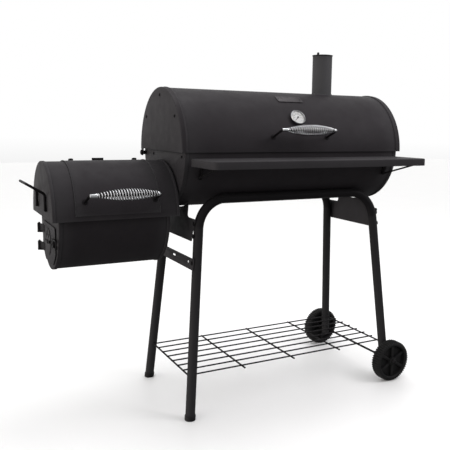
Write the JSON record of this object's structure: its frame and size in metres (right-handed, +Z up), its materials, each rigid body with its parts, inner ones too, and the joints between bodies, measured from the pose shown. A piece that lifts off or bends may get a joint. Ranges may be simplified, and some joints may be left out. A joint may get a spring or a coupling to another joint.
{
  "type": "barrel charcoal grill",
  "caption": "Barrel charcoal grill on a wheeled tube stand: hinged lid, chimney, front shelf and a side firebox with its own lid and ash door.",
  "frame": {"origin": "middle of the footprint on the floor, at the lowest point of the feet and wheels", "axes": "+X along the barrel, from the firebox end to the wheel end; +Y from the shelf side to the back; +Z up"},
  "size_m": [1.3562, 0.6242, 1.2313],
  "materials": {
    "black_paint": "satin high-heat black",
    "dark_hardware": "black oxide, satin",
    "black_wire": "satin black",
    "zinc_steel": "zinc plated",
    "black_plastic": "moulded, matte",
    "chrome": "bright",
    "dial_face": "printed, satin",
    "needle": "satin",
    "lens": "clear",
    "plate_metal": "embossed, satin",
    "grate_iron": "porcelain coated"
  },
  "bodies": {
    "grill": {"front_leg_frame": "black_paint", "rear_leg_frame": "black_paint", "front_foot_cap": "black_plastic", "rear_foot_cap": "black_plastic", "left_apron": "black_paint", "right_apron": "black_paint", "left_cross_bar": "black_paint", "bottom_rack": "black_wire", "axle": "zinc_steel", "barrel_body": "black_paint", "barrel_left_end": "black_paint", "barrel_right_end": "black_paint", "lid_hinge_bolt_left": "dark_hardware", "lid_hinge_bolt_right": "dark_hardware", "firebox_body": "black_paint", "firebox_left_end": "black_paint", "firebox_right_end": "black_paint", "hood_shell": "black_paint", "hood_left_end": "black_paint", "hood_right_end": "black_paint", "passage_collar": "black_paint", "firebox_hinge_left": "dark_hardware", "firebox_hinge_right": "dark_hardware", "firebox_lid_stop": "black_paint", "door_hinge_lower": "dark_hardware", "door_hinge_upper": "dark_hardware", "lift_handle": "dark_hardware", "front_shelf": "black_paint", "shelf_bracket_left": "dark_hardware", "shelf_bracket_right": "dark_hardware", "shelf_brace_left": "black_wire", "shelf_brace_right": "black_wire", "cooking_grate_left": "grate_iron", "cooking_grate_right": "grate_iron", "grate_ledge_front": "black_paint", "grate_ledge_rear": "black_paint", "charcoal_grate": "grate_iron", "firebox_grate": "grate_iron"},
    "lid": {"lid_shell": "black_paint", "lid_left_end": "black_paint", "lid_right_end": "black_paint", "chimney": "black_paint", "damper_pin": "dark_hardware", "thermometer_case": "chrome", "thermometer_dial": "dial_face", "thermometer_lens": "lens", "name_plate": "plate_metal", "lid_handle_rod": "dark_hardware", "lid_handle_grip": "chrome"},
    "damper": {"damper": "dark_hardware"},
    "needle": {"thermometer_needle": "needle"},
    "firebox_lid": {"firebox_lid": "black_paint", "firebox_handle_rod": "dark_hardware", "firebox_handle_grip": "chrome"},
    "ash_door": {"ash_door": "black_paint", "shutter_rivet": "dark_hardware"},
    "air_shutter": {"air_shutter": "dark_hardware"},
    "door_latch": {"door_latch": "dark_hardware"},
    "front_wheel": {"front_wheel": "black_plastic"},
    "rear_wheel": {"rear_wheel": "black_plastic"}
  },
  "joints": [
    {"name": "lid_hinge", "type": "hinge", "parent": "grill", "child": "lid", "pos_m": [0.20031, 0.23187, 0.852], "axis": [-1, 0, 0], "range_deg": [0, 100]},
    {"name": "damper_swing", "type": "hinge", "parent": "lid", "child": "damper", "pos_m": [0.41031, 0.08287, 1.21565], "axis": [0, 0, 1], "range_deg": [0, 110]},
    {"name": "needle_turn", "type": "hinge", "parent": "lid", "child": "needle", "pos_m": [0.19931, -0.11356, 0.98236], "axis": [0, 0.856, -0.517], "range_deg": [0, 270]},
    {"name": "firebox_lid_hinge", "type": "hinge", "parent": "grill", "child": "firebox_lid", "pos_m": [-0.42229, 0.09887, 0.83518], "axis": [-1, 0, 0], "range_deg": [0, 105]},
    {"name": "ash_door_hinge", "type": "hinge", "parent": "grill", "child": "ash_door", "pos_m": [-0.60919, 0.17287, 0.585], "axis": [0, 0, -1], "range_deg": [0, 110]},
    {"name": "shutter_turn", "type": "hinge", "parent": "ash_door", "child": "air_shutter", "pos_m": [-0.60299, 0.05887, 0.585], "axis": [-1, 0, 0], "range_deg": [0, 22.5]},
    {"name": "latch_turn", "type": "hinge", "parent": "ash_door", "child": "door_latch", "pos_m": [-0.60519, -0.03013, 0.593], "axis": [-1, 0, 0], "range_deg": [0, 90]},
    {"name": "front_wheel_spin", "type": "hinge", "parent": "grill", "child": "front_wheel", "pos_m": [0.60214, -0.17598, 0.076], "axis": [0, 1, 0], "continuous": true},
    {"name": "rear_wheel_spin", "type": "hinge", "parent": "grill", "child": "rear_wheel", "pos_m": [0.60214, 0.28373, 0.076], "axis": [0, 1, 0], "continuous": true}
  ]
}
